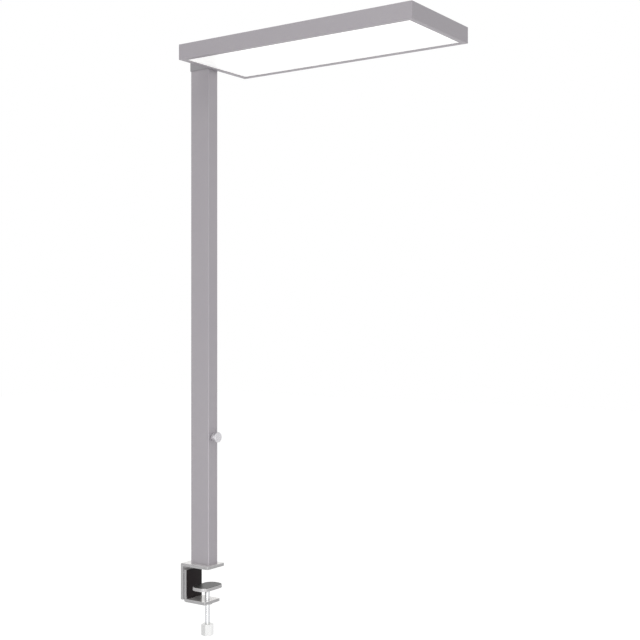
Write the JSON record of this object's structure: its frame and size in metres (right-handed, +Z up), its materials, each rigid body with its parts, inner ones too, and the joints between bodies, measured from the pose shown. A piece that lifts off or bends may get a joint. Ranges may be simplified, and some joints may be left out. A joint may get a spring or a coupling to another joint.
{
  "type": "clamp-on office lamp",
  "caption": "Flat rectangular light head on a tall rectangular mast, with a rotary push dimmer on the mast and a screw clamp that grips the edge of a desk.",
  "frame": {"origin": "where the upper jaw's rubber pad rests on the desk top, on the mast's axis", "axes": "+Z up along the mast, +X out along the light head over the desk, +Y across the head"},
  "size_m": [0.7047, 0.246, 1.4045],
  "materials": {
    "satin_silver_coat": "satin",
    "polished_steel": "polished",
    "chromed_steel": "polished",
    "zinc_plated_steel": "satin",
    "dark_rubber": "matte",
    "black_liner": "matte",
    "opal_diffuser": "satin",
    "white_enamel": "satin",
    "turned_aluminium": "satin",
    "cast_aluminium": "satin",
    "bearing_brass": "satin",
    "steel_shaft": "satin",
    "black_plastic": "matte",
    "circuit_board": "matte",
    "led_phosphor": "gloss",
    "driver_case": "satin",
    "cable_sheath": "satin"
  },
  "bodies": {
    "stand": {"upper_jaw_bracket": "polished_steel", "upper_jaw_pad": "dark_rubber", "mast_tube": "satin_silver_coat", "mast_foot_plug": "cast_aluminium", "mast_foot_screws": "zinc_plated_steel", "foot_set_screws": "zinc_plated_steel", "power_inlet": "black_plastic", "inlet_pin": "bearing_brass", "inlet_nut": "zinc_plated_steel", "encoder_body": "black_plastic", "encoder_board": "circuit_board", "encoder_washer": "zinc_plated_steel", "encoder_nut": "zinc_plated_steel", "adapter_block": "cast_aluminium", "adapter_set_screws": "zinc_plated_steel", "head_bolts": "zinc_plated_steel", "head_profile_left": "satin_silver_coat", "head_profile_front": "satin_silver_coat", "head_profile_right": "satin_silver_coat", "head_profile_rear": "satin_silver_coat", "head_corner_keys": "cast_aluminium", "head_top_cover": "satin_silver_coat", "top_cover_screws": "zinc_plated_steel", "diffuser": "opal_diffuser", "reflector_tray": "white_enamel", "led_boards": "circuit_board", "led_chips": "led_phosphor", "led_driver": "driver_case", "driver_screws": "zinc_plated_steel", "terminal_block": "driver_case", "mast_cable": "cable_sheath", "dimmer_lead": "cable_sheath", "driver_lead": "cable_sheath", "strip_lead": "cable_sheath"},
    "dimmer_push": {"switch_plunger": "black_plastic"},
    "dimmer": {"encoder_shaft": "steel_shaft", "dimmer_knob": "turned_aluminium", "knob_set_screw": "zinc_plated_steel"},
    "lower_jaw": {"lower_jaw_bracket": "polished_steel", "jaw_liner": "black_liner", "jaw_washers": "zinc_plated_steel", "jaw_screws": "zinc_plated_steel", "spindle_bush": "polished_steel"},
    "pressure_jaw": {"pressure_plate": "polished_steel", "pressure_pad": "dark_rubber", "plate_set_screws": "zinc_plated_steel"},
    "clamp_screw": {"clamp_spindle": "chromed_steel", "turning_knob": "turned_aluminium", "knob_screw": "zinc_plated_steel"}
  },
  "joints": [
    {"name": "dimmer_press", "type": "slide", "parent": "stand", "child": "dimmer_push", "axis": [-1, 0, 0], "range_m": [0, 0.0008], "stiffness_N_per_m": 2500, "springref_m": -0.0008},
    {"name": "dimmer_turn", "type": "hinge", "parent": "dimmer_push", "child": "dimmer", "pos_m": [0.045, 0, 0.318], "axis": [1, 0, 0], "continuous": true},
    {"name": "jaw_height", "type": "slide", "parent": "stand", "child": "lower_jaw", "axis": [0, 0, 1], "range_m": [-0.03, 0.004]},
    {"name": "plate_travel", "type": "slide", "parent": "lower_jaw", "child": "pressure_jaw", "axis": [0, 0, 1], "range_m": [-0.0214, 0.0375]},
    {"name": "spindle_turn", "type": "hinge", "parent": "pressure_jaw", "child": "clamp_screw", "pos_m": [0.01, 0, -0.087], "axis": [0, 0, 1], "range_deg": [-2569, 4501]}
  ],
  "couplings": [
    {"joint": "spindle_turn", "follows": "plate_travel", "rad_per_m": 2094.4}
  ]
}
